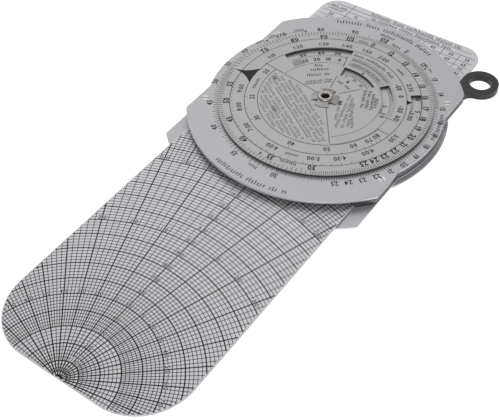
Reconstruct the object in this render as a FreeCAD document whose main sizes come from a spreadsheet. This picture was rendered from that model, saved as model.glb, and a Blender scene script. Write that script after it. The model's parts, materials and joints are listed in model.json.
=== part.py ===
import FreeCAD
import Part
import math
import os
import re
import Sketcher

# Circular slide rule of the dead-reckoning kind, in millimetres.
# The origin is on the pivot axis, on the plane that the compass ring rests on.
# +Z points out of the calculator face, +Y along the card to its table end, +X to the right.

# Driving sizes. Every piece is bound to these cells.
SIZES = [
    ("plate_radius", 64.5),
    ("flank_past_card", 6.8),
    ("plate_corner", 1.5),
    ("plate_bevel", 0.25),
    ("waist_past_flank", 4.2),
    ("front_thickness", 1.0),
    ("back_thickness", 1.1),
    ("back_end_radius", 75.0),
    ("back_bevel", 0.25),
    ("rail_height", 3.6),
    ("rail_inset", 0.3),
    ("card_half_width", 44.4),
    ("card_side_gap", 0.1),
    ("card_low_length", 180.0),
    ("card_high_length", 75.5),
    ("card_low_round", 25.0),
    ("card_high_round", 10.0),
    ("card_thickness", 0.8),
    ("card_lift", 0.2),
    ("card_bevel", 0.12),
    ("screw_past_card", 3.2),
    ("screw_from_rail_end", 9.9),
    ("screw_radius", 1.0),
    ("screw_head_radius", 1.6),
    ("screw_slot_width", 0.5),
    ("screw_slot_depth", 0.4),
    ("screw_slot_angle", 35.0),
    ("screw_end_gap", 0.2),
    ("screw_hole_gap", 0.1),
    ("nut_flange_radius", 2.2),
    ("nut_flange_height", 1.2),
    ("nut_barrel_radius", 1.6),
    ("spring_from_card_edge", 0.5),
    ("spring_width", 2.9),
    ("spring_thickness", 0.3),
    ("spring_tail", 12.8),
    ("spring_touch_gap", 0.05),
    ("ear_half_width", 3.0),
    ("ear_past_screw", 2.4),
    ("tongue_half_width", 1.9),
    ("tongue_root", 1.0),
    ("lanyard_radius", 8.5),
    ("lanyard_hole_radius", 5.2),
    ("lanyard_past_rail", 12.71),
    ("lanyard_neck_angle", 80.0),
    ("lanyard_bevel", 0.15),
    ("disc_radius", 50.0),
    ("disc_thickness", 1.0),
    ("disc_bevel", 0.2),
    ("disc_washer_radius", 9.0),
    ("disc_washer_thickness", 0.3),
    ("pivot_radius", 2.6),
    ("pivot_wall", 0.85),
    ("pivot_roll_height", 1.0),
    ("pivot_roll_width", 1.85),
    ("pivot_set_height", 0.8),
    ("pivot_set_edge", 0.25),
    ("back_washer_radius", 5.0),
    ("back_washer_thickness", 0.3),
    ("star_radius", 6.6),
    ("star_seat_radius", 3.9),
    ("star_thickness", 0.25),
    ("star_dish", 0.55),
    ("star_notch_radius", 1.1),
    ("star_notch_circle", 5.2),
    ("star_notch_angle", 30.0),
    ("star_arm_count", 4.0),
    ("ring_radius", 57.0),
    ("ring_lap", 2.4),
    ("ring_thickness", 1.2),
    ("ring_bevel", 0.25),
    ("ring_gap", 0.2),
    ("window_past_card", 1.0),
    ("window_seat", 0.6),
    ("retainer_lap", 2.4),
    ("retainer_thickness", 0.35),
    ("retainer_side_gap", 0.2),
    ("rivet_radius", 0.6),
    ("rivet_count", 4.0),
    ("grommet_radius", 1.2),
    ("grommet_flange_radius", 2.0),
    ("grommet_flange_thickness", 0.25),
    ("grommet_hole_radius", 0.5),
    ("bearing_gap", 0.05),
    ("turn_gap", 0.05),
    ("fit_gap", 0.02),
    ("cut_overrun", 1.0),
]

# Sector windows of the calculator disc: name, inner and outer radius, and the two end angles,
# counted clockwise from +Y as a dial is read.
WINDOWS = [
    ("height_window", 32.2, 37.2, -64.9, -11.2),
    ("ratio_window", 17.8, 24.2, -10.2, 38.0),
    ("air_window", 26.4, 31.0, 39.5, 80.0),
    ("speed_window", 39.3, 44.1, 53.8, 71.0),
]
WINDOW_SIZES = ("inner", "outer", "start", "finish")

for window in WINDOWS:
    for word, number in zip(WINDOW_SIZES, window[1:]):
        SIZES.append((window[0] + "_" + word, number))

doc = FreeCAD.newDocument("SlideRule")
sheet = doc.addObject("Spreadsheet::Sheet", "Sizes")
for row, (alias, number) in enumerate(SIZES, start=1):
    sheet.set("A%d" % row, alias.replace("_", " "))
    sheet.set("B%d" % row, str(number))
    sheet.setAlias("B%d" % row, alias)
doc.recompute()

ALIASES = {alias for alias, number in SIZES}


def bound(expression):
    """The expression with each size's name pointing at its cell."""
    def cell(match):
        word = match.group()
        return "Sizes." + word if word in ALIASES else word
    return re.sub(r"[a-z_]+", cell, expression)


def value(expression):
    """The expression's present number."""
    return float(sheet.evalExpression(bound(expression)))


def total(*terms):
    return "(" + " + ".join(terms) + ")"


# Levels of the stack, from the resting plane up.
BACK_LOW = total("ring_thickness", "ring_gap")
BACK_TOP = total(BACK_LOW, "back_thickness")
CARD_LOW = total(BACK_TOP, "card_lift")
CARD_TOP = total(CARD_LOW, "card_thickness")
NUT_TOP = total(BACK_TOP, "nut_flange_height")
FRONT_LOW = total(BACK_TOP, "rail_height")
FRONT_TOP = total(FRONT_LOW, "front_thickness")
DISC_LOW = total(FRONT_TOP, "disc_washer_thickness", "turn_gap")
DISC_TOP = total(DISC_LOW, "disc_thickness")
STAR_LOW = total(DISC_TOP, "turn_gap")
STAR_TOP = total(STAR_LOW, "star_dish", "star_thickness")
SEAT_TOP = total(BACK_LOW, "window_seat")
WINDOW_TOP = total(SEAT_TOP, "turn_gap")
RETAINER_TOP = total(WINDOW_TOP, "retainer_thickness")

def height_on_circle(radius, across):
    """How far along Y a circle about the pivot is, at a given distance across."""
    return "sqrt(%s ^ 2 - %s ^ 2)" % (radius, across)


def both(expression):
    """A distance on the plus side and on the minus side."""
    return (expression, "-" + expression)


# Places that several pieces share. The card's width sets everything beside it, and the plates'
# end radius sets everything beyond the rails' ends.
FLANK = total("card_half_width", "flank_past_card")
WAIST_RADIUS = total(FLANK, "waist_past_flank")
RAIL_INNER = total("card_half_width", "card_side_gap")
RAIL_OUTER = "(%s - rail_inset)" % FLANK
RAIL_END_RADIUS = "(plate_radius - rail_inset)"
RAIL_WAIST_RADIUS = "(%s - rail_inset)" % WAIST_RADIUS
RAIL_END = height_on_circle(RAIL_END_RADIUS, RAIL_OUTER)
SCREW_ACROSS = total("card_half_width", "screw_past_card")
SCREW_ALONG = "(%s - screw_from_rail_end)" % RAIL_END
LANYARD_END_RADIUS = total(RAIL_END_RADIUS, "screw_hole_gap")
LANYARD_INNER = total(RAIL_INNER, "card_side_gap")
LANYARD_ACROSS = total(LANYARD_INNER, "lanyard_radius")
LANYARD_FOOT = "(%s)" % height_on_circle(LANYARD_END_RADIUS, RAIL_OUTER)
LANYARD_ALONG = total(LANYARD_FOOT, "lanyard_past_rail")
SPRING_OUTER = "(card_half_width - spring_from_card_edge)"
SPRING_INNER = "(%s - spring_width)" % SPRING_OUTER
SPRING_END = total(SCREW_ALONG, "ear_half_width", "spring_tail")
EAR_END = total(SCREW_ACROSS, "ear_past_screw")
WINDOW_RADIUS = total("card_half_width", "window_past_card")
RING_BORE = "(%s - ring_lap)" % WINDOW_RADIUS
RETAINER_RADIUS = total(WINDOW_RADIUS, "retainer_lap")
RIVET_CIRCLE = "(%s - ring_lap / 2)" % WINDOW_RADIUS

# Heights and places that are closer than these are the same.
SAME_HEIGHT = 1e-4
SAME_PLACE = 1e-3


def origin_part(body, role):
    return [part for part in body.Origin.OriginFeatures if part.Role == role][0]


def new_body(node):
    body = doc.addObject("PartDesign::Body", node)
    body.Label = node
    return body


def new_sketch(body, name, role="XY_Plane", level="0", shift=None):
    """A sketch on one of its body's origin planes, raised along the plane's normal."""
    sketch = body.newObject("Sketcher::SketchObject", name)
    sketch.AttachmentSupport = [(origin_part(body, role), "")]
    sketch.MapMode = "FlatFace"
    sketch.setExpression("AttachmentOffset.Base.z", bound(level))
    if shift:
        sketch.setExpression("AttachmentOffset.Base.x", bound(shift))
    return sketch


def tie(sketch, kind, geometry, point, expression):
    """Bind one coordinate of a sketch point to an expression."""
    number = value(expression)
    if abs(number) < 1e-9 and expression == "0":
        axis = -2 if kind == "DistanceX" else -1
        sketch.addConstraint(Sketcher.Constraint("PointOnObject", geometry, point, axis))
        return
    if number < 0:
        place = sketch.addConstraint(Sketcher.Constraint(kind, geometry, point, -1, 1, -number))
        sketch.setExpression("Constraints[%d]" % place, bound("-(%s)" % expression))
    else:
        place = sketch.addConstraint(Sketcher.Constraint(kind, -1, 1, geometry, point, number))
        sketch.setExpression("Constraints[%d]" % place, bound(expression))


def add_circle(sketch, across, along, radius):
    centre = FreeCAD.Vector(value(across), value(along), 0)
    circle = Part.Circle(centre, FreeCAD.Vector(0, 0, 1), value(radius))
    index = sketch.addGeometry(circle, False)
    tie(sketch, "DistanceX", index, 3, across)
    tie(sketch, "DistanceY", index, 3, along)
    place = sketch.addConstraint(Sketcher.Constraint("Radius", index, value(radius)))
    sketch.setExpression("Constraints[%d]" % place, bound(radius))


def add_outline(sketch, corners, arcs=None):
    """A closed outline. Corners are pairs of expressions; arcs maps the number of a corner to
    the centre and turn of the arc that leaves it, and every other side is straight."""
    arcs = arcs or {}
    points = [FreeCAD.Vector(value(across), value(along), 0) for across, along in corners]
    joints = []
    for number, start in enumerate(points):
        finish = points[(number + 1) % len(points)]
        if number not in arcs:
            index = sketch.addGeometry(Part.LineSegment(start, finish), False)
            joints.append((index, 1, 2))
            continue
        centre_across, centre_along, turn = arcs[number]
        centre = FreeCAD.Vector(value(centre_across), value(centre_along), 0)
        circle = Part.Circle(centre, FreeCAD.Vector(0, 0, 1), (start - centre).Length)
        low, high = (start, finish) if turn > 0 else (finish, start)
        low_angle = math.atan2(low.y - centre.y, low.x - centre.x)
        high_angle = math.atan2(high.y - centre.y, high.x - centre.x)
        if high_angle <= low_angle:
            high_angle += 2 * math.pi
        index = sketch.addGeometry(Part.ArcOfCircle(circle, low_angle, high_angle), False)
        joints.append((index, 1, 2) if turn > 0 else (index, 2, 1))
        chord = finish - start
        if abs(chord.x) >= abs(chord.y):
            tie(sketch, "DistanceY", index, 3, centre_along)
        else:
            tie(sketch, "DistanceX", index, 3, centre_across)
    for number, (index, start_end, finish_end) in enumerate(joints):
        after, after_start, after_finish = joints[(number + 1) % len(joints)]
        sketch.addConstraint(Sketcher.Constraint("Coincident", index, finish_end, after, after_start))
        tie(sketch, "DistanceX", index, start_end, corners[number][0])
        tie(sketch, "DistanceY", index, start_end, corners[number][1])


def add_box(sketch, low_across, high_across, low_along, high_along):
    corners = [
        (low_across, low_along),
        (high_across, low_along),
        (high_across, high_along),
        (low_across, high_along),
    ]
    add_outline(sketch, corners)


def add_pad(body, name, sketch, length):
    pad = body.newObject("PartDesign::Pad", name)
    pad.Profile = sketch
    pad.setExpression("Length", bound(length))
    sketch.Visibility = False
    return pad


def add_pocket(body, name, sketch, depth=None, upward=False):
    """A pocket to a depth below the sketch, or above it, or right through where no depth is given."""
    pocket = body.newObject("PartDesign::Pocket", name)
    pocket.Profile = sketch
    if depth is None:
        pocket.Type = "ThroughAll"
        pocket.Midplane = True
    else:
        pocket.setExpression("Length", bound(depth))
        pocket.Reversed = upward
    sketch.Visibility = False
    return pocket


def add_revolution(body, name, sketch):
    revolution = body.newObject("PartDesign::Revolution", name)
    revolution.Profile = sketch
    revolution.ReferenceAxis = (sketch, ["V_Axis"])
    revolution.Angle = 360
    sketch.Visibility = False
    return revolution


def add_polar(body, name, feature, count):
    pattern = body.newObject("PartDesign::PolarPattern", name)
    pattern.Originals = [feature]
    pattern.Axis = (origin_part(body, "Z_Axis"), [""])
    pattern.Angle = 360
    pattern.setExpression("Occurrences", bound(count))
    body.Tip = pattern
    return pattern


def edges_at(feature, level, longest=False):
    """Names of the edges of a feature that lie flat at a level, or only the longest loop's."""
    doc.recompute()
    height = value(level)
    found = []
    for number, edge in enumerate(feature.Shape.Edges, start=1):
        box = edge.BoundBox
        if abs(box.ZMin - height) < SAME_HEIGHT and abs(box.ZMax - height) < SAME_HEIGHT:
            reach = max(math.hypot(vertex.X, vertex.Y) for vertex in edge.Vertexes)
            found.append(("Edge%d" % number, reach))
    if longest:
        limit = 0.75 * max(reach for name, reach in found)
        found = [(name, reach) for name, reach in found if reach > limit]
    return [name for name, reach in found]


def upright_edges_at(feature, across, along):
    """Names of the upright edges of a feature at the corners (across, along), on all four sides."""
    doc.recompute()
    found = []
    for number, edge in enumerate(feature.Shape.Edges, start=1):
        box = edge.BoundBox
        upright = box.XLength < SAME_HEIGHT and box.YLength < SAME_HEIGHT
        beside = abs(abs(box.XMin) - value(across)) < SAME_PLACE
        level = min(abs(abs(box.YMin) - value(place)) for place in along) < SAME_PLACE
        if upright and beside and level:
            found.append("Edge%d" % number)
    return found


def add_dress(body, kind, name, feature, edges, size):
    """A Fillet or a Chamfer on named edges of a feature."""
    dress = body.newObject("PartDesign::" + kind, name)
    dress.Base = (feature, edges)
    dress.setExpression("Radius" if kind == "Fillet" else "Size", bound(size))
    return dress


def waisted_outline(sketch, low_radius, high_radius):
    """The plates' outline: two ends of an own radius, straight flanks and a round waist."""
    low = height_on_circle(low_radius, FLANK)
    high = height_on_circle(high_radius, FLANK)
    waist = height_on_circle(WAIST_RADIUS, FLANK)
    corners = [
        (FLANK, "-" + low),
        (FLANK, "-" + waist),
        (FLANK, waist),
        (FLANK, high),
        ("-" + FLANK, high),
        ("-" + FLANK, waist),
        ("-" + FLANK, "-" + waist),
        ("-" + FLANK, "-" + low),
    ]
    arcs = {number: ("0", "0", 1) for number in (1, 3, 5, 7)}
    add_outline(sketch, corners, arcs)
    return low, high


def front_plate():
    body = new_body("front_plate")
    sketch = new_sketch(body, "front_outline", level=FRONT_LOW)
    low, high = waisted_outline(sketch, "plate_radius", "plate_radius")
    plate = add_pad(body, "front_sheet", sketch, "front_thickness")
    corners = upright_edges_at(plate, FLANK, (low, high))
    rounded = add_dress(body, "Fillet", "front_corners", plate, corners, "plate_corner")
    edges = edges_at(rounded, FRONT_TOP)
    bevelled = add_dress(body, "Chamfer", "front_bevel", rounded, edges, "plate_bevel")
    body.Tip = bevelled
    bore = new_sketch(body, "front_bore_circle", level=FRONT_TOP)
    add_circle(bore, "0", "0", total("pivot_radius", "fit_gap"))
    add_pocket(body, "front_bore", bore)
    holes = new_sketch(body, "front_screw_circles", level=FRONT_TOP)
    for across in both(SCREW_ACROSS):
        for along in both(SCREW_ALONG):
            add_circle(holes, across, along, total("screw_radius", "screw_hole_gap"))
    doc.recompute()
    sunk = body.newObject("PartDesign::Hole", "front_screw_holes")
    sunk.Profile = holes
    sunk.DepthType = "ThroughAll"
    sunk.setExpression("Diameter", bound("2 * (screw_radius + screw_hole_gap)"))
    sunk.HoleCutType = "Countersink"
    sunk.HoleCutCountersinkAngle = 90
    sunk.setExpression("HoleCutDiameter", bound("2 * (screw_head_radius + fit_gap)"))
    holes.Visibility = False
    return body


def back_plate():
    body = new_body("back_plate")
    sketch = new_sketch(body, "back_outline", level=BACK_LOW)
    low, high = waisted_outline(sketch, "back_end_radius", "plate_radius")
    plate = add_pad(body, "back_sheet", sketch, "back_thickness")
    corners = upright_edges_at(plate, FLANK, (low, high))
    rounded = add_dress(body, "Fillet", "back_corners", plate, corners, "plate_corner")
    edges = edges_at(rounded, BACK_LOW)
    bevelled = add_dress(body, "Chamfer", "back_bevel_cut", rounded, edges, "back_bevel")
    body.Tip = bevelled
    opening = new_sketch(body, "back_window_circle", level=BACK_TOP)
    add_circle(opening, "0", "0", total(WINDOW_RADIUS, "bearing_gap"))
    add_pocket(body, "back_window", opening)
    seat = new_sketch(body, "back_seat_circle", level=BACK_TOP)
    add_circle(seat, "0", "0", total(RETAINER_RADIUS, "retainer_side_gap"))
    add_pocket(body, "back_seat", seat, "back_thickness - window_seat")
    holes = new_sketch(body, "back_nut_circles", level=BACK_TOP)
    for across in both(SCREW_ACROSS):
        for along in both(SCREW_ALONG):
            add_circle(holes, across, along, total("nut_barrel_radius", "fit_gap"))
    add_pocket(body, "back_nut_holes", holes)
    return body


def rail(node, side, has_tongue_pocket):
    """A guide rail. side is +1 on the right and -1 on the left."""
    def across(expression):
        return expression if side > 0 else "-" + expression

    body = new_body(node)
    sketch = new_sketch(body, node + "_outline", level=BACK_TOP)
    inner_end = height_on_circle(RAIL_END_RADIUS, RAIL_INNER)
    waist = height_on_circle(RAIL_WAIST_RADIUS, RAIL_OUTER)
    corners = [
        (across(RAIL_INNER), "-" + inner_end),
        (across(RAIL_OUTER), "-" + RAIL_END),
        (across(RAIL_OUTER), "-" + waist),
        (across(RAIL_OUTER), waist),
        (across(RAIL_OUTER), RAIL_END),
        (across(RAIL_INNER), inner_end),
    ]
    arcs = {number: ("0", "0", side) for number in (0, 2, 4)}
    add_outline(sketch, corners, arcs)
    add_pad(body, node + "_bar", sketch, "rail_height")
    screws = new_sketch(body, node + "_screw_circles", level=BACK_TOP)
    nuts = new_sketch(body, node + "_nut_circles", level=BACK_TOP)
    for along in both(SCREW_ALONG):
        add_circle(screws, across(SCREW_ACROSS), along, total("screw_radius", "screw_hole_gap"))
        add_circle(nuts, across(SCREW_ACROSS), along, total("nut_flange_radius", "screw_hole_gap"))
    add_pocket(body, node + "_screw_holes", screws)
    add_pocket(body, node + "_nut_seats", nuts, "nut_flange_height", upward=True)
    ears = new_sketch(body, node + "_ear_boxes", level=FRONT_LOW)
    ear_inner = "(%s - cut_overrun)" % RAIL_INNER
    ear_outer = total(EAR_END, "screw_hole_gap")
    ear_reach = total("ear_half_width", "screw_hole_gap")
    sides = (ear_inner, ear_outer) if side > 0 else (across(ear_outer), across(ear_inner))
    for middle in both(SCREW_ALONG):
        add_box(ears, sides[0], sides[1], "(%s - %s)" % (middle, ear_reach), total(middle, ear_reach))
    add_pocket(body, node + "_ear_seats", ears, "spring_thickness")
    if has_tongue_pocket:
        slot = new_sketch(body, node + "_tongue_box", level=FRONT_LOW)
        reach = total("tongue_half_width", "screw_hole_gap")
        low_across = "(%s - %s)" % (SCREW_ACROSS, reach)
        high_across = total(SCREW_ACROSS, reach)
        corners = [
            (high_across, SCREW_ALONG),
            (high_across, "plate_radius"),
            (low_across, "plate_radius"),
            (low_across, SCREW_ALONG),
        ]
        add_outline(slot, corners, {3: (SCREW_ACROSS, SCREW_ALONG, 1)})
        add_pocket(body, node + "_tongue_slot", slot, "rail_height - nut_flange_height")
    return body


def lanyard_ring():
    """Black ring beyond the plates' corner, with a thinner tongue that a frame screw holds."""
    body = new_body("lanyard_ring")
    sketch = new_sketch(body, "lanyard_outline", level=BACK_TOP)
    neck_across = total(LANYARD_ACROSS, "lanyard_radius * cos(lanyard_neck_angle)")
    neck_along = "(%s - lanyard_radius * sin(lanyard_neck_angle))" % LANYARD_ALONG
    rise = "(%s - %s)" % (neck_along, LANYARD_FOOT)
    run = "(%s - %s)" % (neck_across, RAIL_OUTER)
    hollow_radius = "((%s ^ 2 + %s ^ 2) / (2 * %s))" % (run, rise, run)
    corners = [
        (RAIL_OUTER, LANYARD_FOOT),
        (LANYARD_INNER, height_on_circle(LANYARD_END_RADIUS, LANYARD_INNER)),
        (LANYARD_INNER, LANYARD_ALONG),
        (neck_across, neck_along),
    ]
    arcs = {
        0: ("0", "0", 1),
        2: (LANYARD_ACROSS, LANYARD_ALONG, -1),
        3: (total(RAIL_OUTER, hollow_radius), LANYARD_FOOT, 1),
    }
    add_outline(sketch, corners, arcs)
    head = add_pad(body, "lanyard_head", sketch, "rail_height")
    bore = new_sketch(body, "lanyard_bore_circle", level=BACK_TOP)
    add_circle(bore, LANYARD_ACROSS, LANYARD_ALONG, "lanyard_hole_radius")
    bored = add_pocket(body, "lanyard_bore", bore)
    edges = edges_at(bored, BACK_TOP) + edges_at(bored, FRONT_LOW)
    body.Tip = add_dress(body, "Chamfer", "lanyard_edges", bored, edges, "lanyard_bevel")
    tongue = new_sketch(body, "lanyard_tongue_outline", level=NUT_TOP)
    low_across = "(%s - tongue_half_width)" % SCREW_ACROSS
    high_across = total(SCREW_ACROSS, "tongue_half_width")
    root = total(height_on_circle(LANYARD_END_RADIUS, low_across), "tongue_root")
    corners = [
        (high_across, SCREW_ALONG),
        (high_across, root),
        (low_across, root),
        (low_across, SCREW_ALONG),
    ]
    add_outline(tongue, corners, {3: (SCREW_ACROSS, SCREW_ALONG, 1)})
    height = "rail_height - nut_flange_height - spring_thickness"
    add_pad(body, "lanyard_tongue", tongue, height)
    hole = new_sketch(body, "lanyard_screw_circle", level=NUT_TOP)
    add_circle(hole, SCREW_ACROSS, SCREW_ALONG, total("screw_radius", "screw_hole_gap"))
    add_pocket(body, "lanyard_screw_hole", hole)
    return body


def frame_screws():
    """Four countersunk slotted screws, one modelled and the others its mirror images."""
    body = doc.addObject("PartDesign::Body", "frame_screw")
    sketch = new_sketch(body, "screw_profile", "XZ_Plane", "-" + SCREW_ALONG, SCREW_ACROSS)
    end = total(BACK_LOW, "screw_end_gap")
    neck = "(%s - (screw_head_radius - screw_radius))" % FRONT_TOP
    corners = [
        ("0", end),
        ("screw_radius", end),
        ("screw_radius", neck),
        ("screw_head_radius", FRONT_TOP),
        ("0", FRONT_TOP),
    ]
    add_outline(sketch, corners)
    add_revolution(body, "screw_turned", sketch)
    slot = body.newObject("Sketcher::SketchObject", "screw_slot_box")
    slot.AttachmentSupport = [(origin_part(body, "XY_Plane"), "")]
    slot.MapMode = "FlatFace"
    slot.setExpression("AttachmentOffset.Base.x", bound(SCREW_ACROSS))
    slot.setExpression("AttachmentOffset.Base.y", bound(SCREW_ALONG))
    slot.setExpression("AttachmentOffset.Base.z", bound(FRONT_TOP))
    slot.setExpression("AttachmentOffset.Rotation.Angle", bound("screw_slot_angle"))
    add_box(slot, "-2 * screw_head_radius", "2 * screw_head_radius",
            "-screw_slot_width / 2", "screw_slot_width / 2")
    add_pocket(body, "screw_slot", slot, "screw_slot_depth")
    return four_of("frame_screws", body)


def frame_nuts():
    """Four flanged press nuts that give the screws enough thread in the thin back plate."""
    body = doc.addObject("PartDesign::Body", "frame_nut")
    sketch = new_sketch(body, "nut_profile", "XZ_Plane", "-" + SCREW_ALONG, SCREW_ACROSS)
    bore = total("screw_radius", "fit_gap")
    corners = [
        (bore, BACK_LOW),
        ("nut_barrel_radius", BACK_LOW),
        ("nut_barrel_radius", BACK_TOP),
        ("nut_flange_radius", BACK_TOP),
        ("nut_flange_radius", NUT_TOP),
        (bore, NUT_TOP),
    ]
    add_outline(sketch, corners)
    add_revolution(body, "nut_turned", sketch)
    return four_of("frame_nuts", body)


def mirror_of(name, source, across):
    """A mirror image in the plane across X or across Y."""
    image = doc.addObject("Part::Mirroring", name)
    image.Source = source
    image.Normal = FreeCAD.Vector(1, 0, 0) if across == "X" else FreeCAD.Vector(0, 1, 0)
    return image


def group_of(name, members):
    group = doc.addObject("Part::Compound", name)
    group.Links = members
    group.Label = name
    return group


def four_of(node, source):
    pair = group_of(node + "_far_pair", [source, mirror_of(node + "_left", source, "X")])
    return group_of(node, [pair, mirror_of(node + "_near_pair", pair, "Y")])


def card_spring_right():
    """Bowed strip over the card's margin, held by two ears under the front plate."""
    body = new_body("card_spring_right")
    sketch = new_sketch(body, "spring_profile", "YZ_Plane", SPRING_INNER)
    high = "(%s - spring_thickness)" % FRONT_LOW
    low = total(CARD_TOP, "spring_touch_gap")
    drop = "(%s - %s)" % (high, low)
    inner = "(%s - ear_half_width)" % SCREW_ALONG
    outer = total(SCREW_ALONG, "ear_half_width")
    bow_radius = "((%s ^ 2 + %s ^ 2) / (2 * %s))" % (inner, drop, drop)
    tail_radius = "((spring_tail ^ 2 + %s ^ 2) / (2 * %s))" % (drop, drop)
    bow_centre = total(low, bow_radius)
    tail_centre = "(%s - %s)" % (high, tail_radius)

    def lifted(expression):
        return total(expression, "spring_thickness")

    corners = [
        ("-" + SPRING_END, low),
        ("-" + outer, high),
        ("-" + inner, high),
        (inner, high),
        (outer, high),
        (SPRING_END, low),
        (SPRING_END, lifted(low)),
        (outer, lifted(high)),
        (inner, lifted(high)),
        ("-" + inner, lifted(high)),
        ("-" + outer, lifted(high)),
        ("-" + SPRING_END, lifted(low)),
    ]
    arcs = {
        0: ("-" + outer, tail_centre, -1),
        2: ("0", bow_centre, 1),
        4: (outer, tail_centre, -1),
        6: (outer, lifted(tail_centre), 1),
        8: ("0", lifted(bow_centre), -1),
        10: ("-" + outer, lifted(tail_centre), 1),
    }
    add_outline(sketch, corners, arcs)
    add_pad(body, "spring_strip", sketch, "spring_width")
    ears = new_sketch(body, "spring_ear_boxes", level=high)
    holes = new_sketch(body, "spring_ear_circles", level=high)
    for middle in both(SCREW_ALONG):
        add_box(ears, SPRING_INNER, EAR_END,
                "(%s - ear_half_width)" % middle, total(middle, "ear_half_width"))
        add_circle(holes, SCREW_ACROSS, middle, total("screw_radius", "screw_hole_gap"))
    add_pad(body, "spring_ears", ears, "spring_thickness")
    add_pocket(body, "spring_ear_holes", holes)
    return body


def wind_card():
    """The long sliding card, rounder at its lower end than at its table end."""
    body = new_body("wind_card")
    sketch = new_sketch(body, "card_outline", level=CARD_LOW)
    low_across = "(card_half_width - card_low_round)"
    high_across = "(card_half_width - card_high_round)"
    low_along = "(card_low_length - card_low_round)"
    high_along = "(card_high_length - card_high_round)"
    corners = [
        ("-" + low_across, "-card_low_length"),
        (low_across, "-card_low_length"),
        ("card_half_width", "-" + low_along),
        ("card_half_width", high_along),
        (high_across, "card_high_length"),
        ("-" + high_across, "card_high_length"),
        ("-card_half_width", high_along),
        ("-card_half_width", "-" + low_along),
    ]
    arcs = {
        1: (low_across, "-" + low_along, 1),
        3: (high_across, high_along, 1),
        5: ("-" + high_across, high_along, 1),
        7: ("-" + low_across, "-" + low_along, 1),
    }
    add_outline(sketch, corners, arcs)
    sheet_pad = add_pad(body, "card_sheet", sketch, "card_thickness")
    edges = edges_at(sheet_pad, CARD_LOW) + edges_at(sheet_pad, CARD_TOP)
    body.Tip = add_dress(body, "Chamfer", "card_edges", sheet_pad, edges, "card_bevel")
    return body


def computer_disc():
    """The rotating disc, with four sector windows over the scales printed beneath it."""
    body = new_body("computer_disc")
    sketch = new_sketch(body, "disc_circles", level=DISC_LOW)
    add_circle(sketch, "0", "0", "disc_radius")
    add_circle(sketch, "0", "0", total("pivot_radius", "bearing_gap"))
    pad = add_pad(body, "disc_sheet", sketch, "disc_thickness")
    edges = edges_at(pad, DISC_TOP, longest=True)
    body.Tip = add_dress(body, "Chamfer", "disc_edge", pad, edges, "disc_bevel")
    for window_name, inner, outer, start, finish in WINDOWS:
        sector = new_sketch(body, window_name + "_sector", level=DISC_TOP)
        corners = []
        for radius, angle in (("_inner", "_start"), ("_outer", "_start"),
                              ("_outer", "_finish"), ("_inner", "_finish")):
            pair = (window_name + radius, window_name + angle)
            corners.append(("%s * sin(%s)" % pair, "%s * cos(%s)" % pair))
        add_outline(sector, corners, {1: ("0", "0", -1), 3: ("0", "0", 1)})
        add_pocket(body, window_name, sector)
    return body


def flat_ring(node, outer, inner, low, thickness):
    body = new_body(node)
    sketch = new_sketch(body, node + "_circles", level=low)
    add_circle(sketch, "0", "0", outer)
    add_circle(sketch, "0", "0", inner)
    return body, add_pad(body, node + "_sheet", sketch, thickness)


def spring_washer():
    """Dished star washer: four arms press down on the disc from under the eyelet's roll."""
    body = new_body("spring_washer")
    sketch = new_sketch(body, "star_profile", "XZ_Plane")
    bore = total("pivot_radius", "fit_gap")
    low = total(STAR_LOW, "star_dish")
    corners = [
        (bore, low),
        ("star_seat_radius", low),
        ("star_radius", STAR_LOW),
        ("star_radius", total(STAR_LOW, "star_thickness")),
        ("star_seat_radius", STAR_TOP),
        (bore, STAR_TOP),
    ]
    add_outline(sketch, corners)
    add_revolution(body, "star_dish_turned", sketch)
    notch = new_sketch(body, "star_notch_outline", level=STAR_LOW)
    notch.setExpression("AttachmentOffset.Rotation.Angle", bound("-star_notch_angle"))
    reach = total("star_radius", "star_notch_radius")
    corners = [
        ("star_notch_radius", "star_notch_circle"),
        ("2 * star_notch_radius", reach),
        ("-2 * star_notch_radius", reach),
        ("-star_notch_radius", "star_notch_circle"),
    ]
    add_outline(notch, corners, {3: ("0", "star_notch_circle", 1)})
    cut = add_pocket(body, "star_notch", notch)
    add_polar(body, "star_notches", cut, "star_arm_count")
    return body


def pivot_eyelet():
    """Hollow eyelet: a thin barrel with a round roll above the washer, set flat under the plate."""
    body = new_body("pivot_eyelet")
    sketch = new_sketch(body, "eyelet_profile", "XZ_Plane")
    bore = "(pivot_radius - pivot_wall)"
    rim = total(bore, "pivot_roll_width")
    roll_radius = "(pivot_roll_width / 2)"
    middle = total(bore, roll_radius)
    top_centre = "(%s + pivot_roll_height - %s)" % (STAR_TOP, roll_radius)
    back_seat = "(%s - back_washer_thickness)" % FRONT_LOW
    set_low = "(%s - pivot_set_height)" % back_seat
    corners = [
        (bore, set_low),
        ("pivot_radius", set_low),
        (rim, "(%s - pivot_set_edge)" % back_seat),
        (rim, back_seat),
        ("pivot_radius", back_seat),
        ("pivot_radius", STAR_TOP),
        (rim, STAR_TOP),
        (rim, top_centre),
        (bore, top_centre),
    ]
    add_outline(sketch, corners, {7: (middle, top_centre, 1)})
    add_revolution(body, "eyelet_turned", sketch)
    return body


def rivet_holes(body, node, low, radius):
    """The ring of rivet holes that the three layers of the compass assembly share."""
    sketch = new_sketch(body, node + "_rivet_circle", level=low)
    add_circle(sketch, RIVET_CIRCLE, "0", radius)
    hole = add_pocket(body, node + "_rivet_hole", sketch)
    add_polar(body, node + "_rivet_holes", hole, "rivet_count")


def azimuth_ring():
    body, sheet_pad = flat_ring("azimuth_ring", "ring_radius", RING_BORE, "0", "ring_thickness")
    edges = edges_at(sheet_pad, "0", longest=True) + edges_at(sheet_pad, "ring_thickness", longest=True)
    body.Tip = add_dress(body, "Chamfer", "azimuth_ring_edges", sheet_pad, edges, "ring_bevel")
    rivet_holes(body, "azimuth_ring", "0", total("rivet_radius", "fit_gap"))
    return body


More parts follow.
